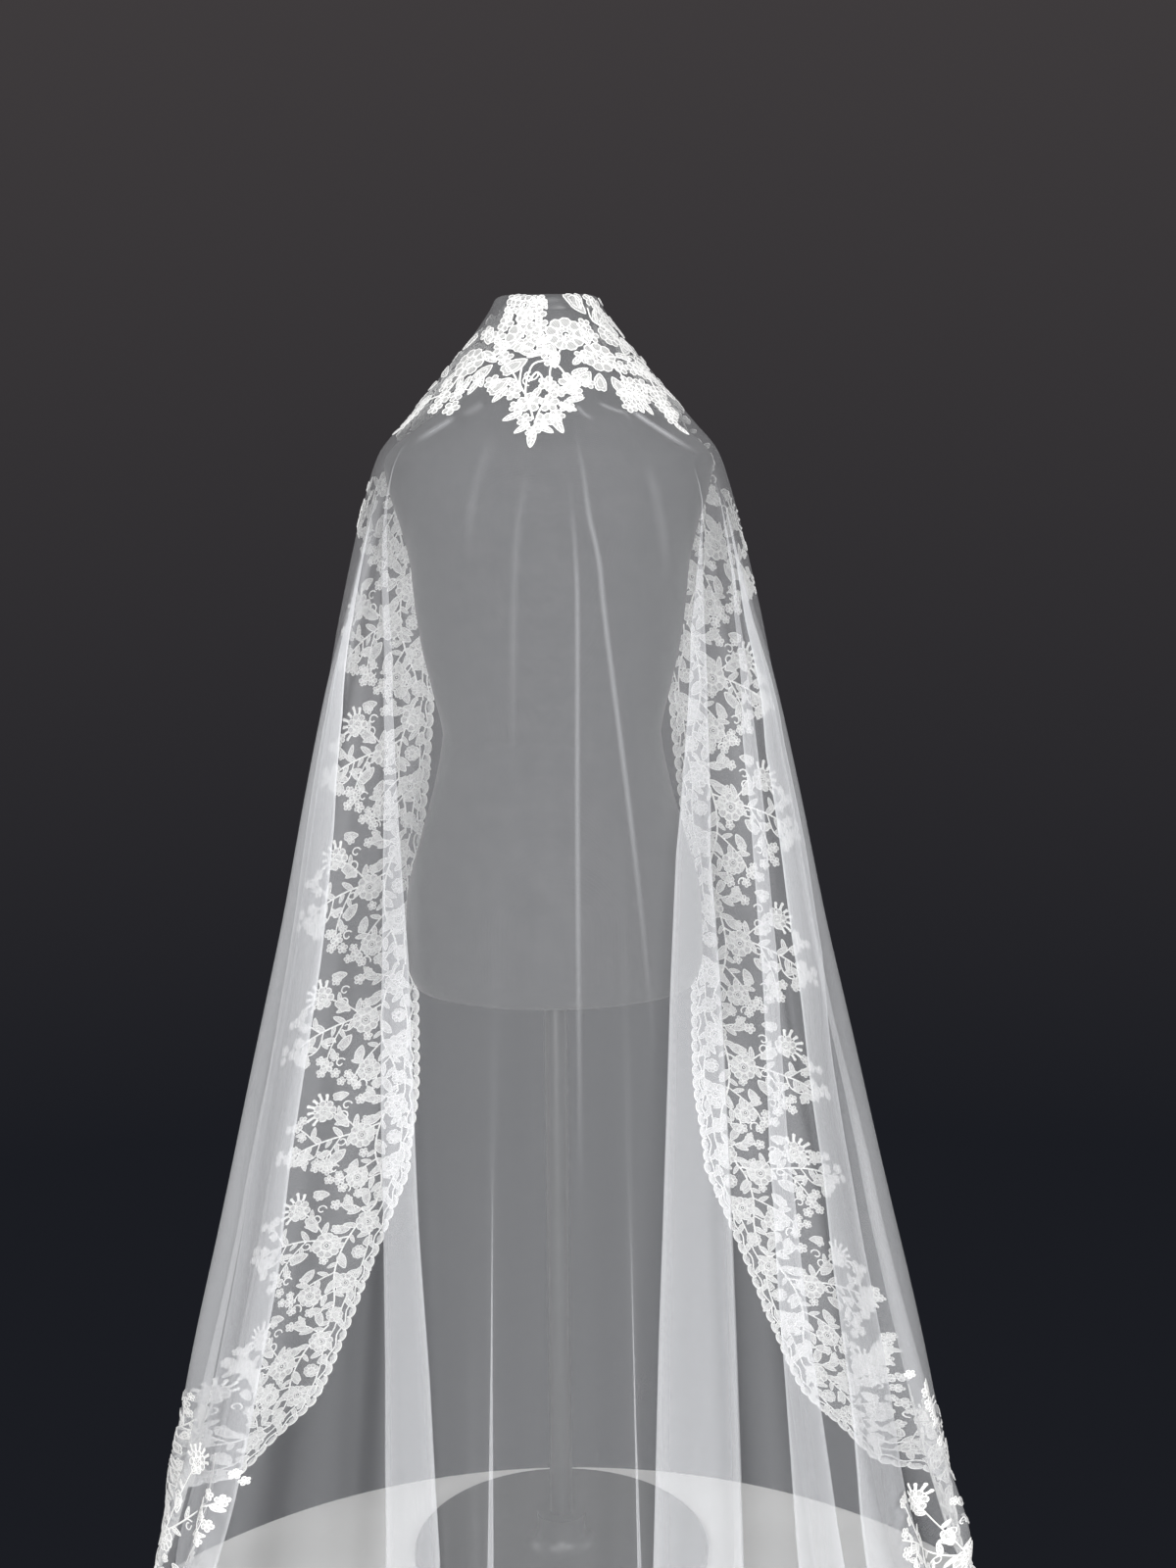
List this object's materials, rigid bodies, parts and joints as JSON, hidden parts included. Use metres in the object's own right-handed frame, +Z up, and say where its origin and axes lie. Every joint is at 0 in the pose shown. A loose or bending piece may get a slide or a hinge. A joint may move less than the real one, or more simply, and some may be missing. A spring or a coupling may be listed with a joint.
{
  "type": "bridal veil on dress form",
  "caption": "Sheer tulle bridal veil with a wide lace border, worn over a limbless dress form on a pole and round base, with its train lying on the floor.",
  "frame": {"origin": "centre of the underside of the round base, on the floor, on the pole's axis", "axes": "+Z up; the back of the veil and its train face -Y, the wearer's front faces +Y"},
  "size_m": [1.0623, 1.155, 1.5496],
  "materials": {
    "tulle": "sheer soft net",
    "lace": "corded embroidery",
    "jersey": "matt knit",
    "paint": "satin"
  },
  "bodies": {
    "root": {"veil_tulle": "tulle", "lace_crown": "lace", "lace_left": "lace", "lace_right": "lace", "lace_hem": "lace", "form_torso": "jersey", "form_neck_cap": "paint", "form_pole": "paint", "form_base": "paint"}
  },
  "joints": []
}
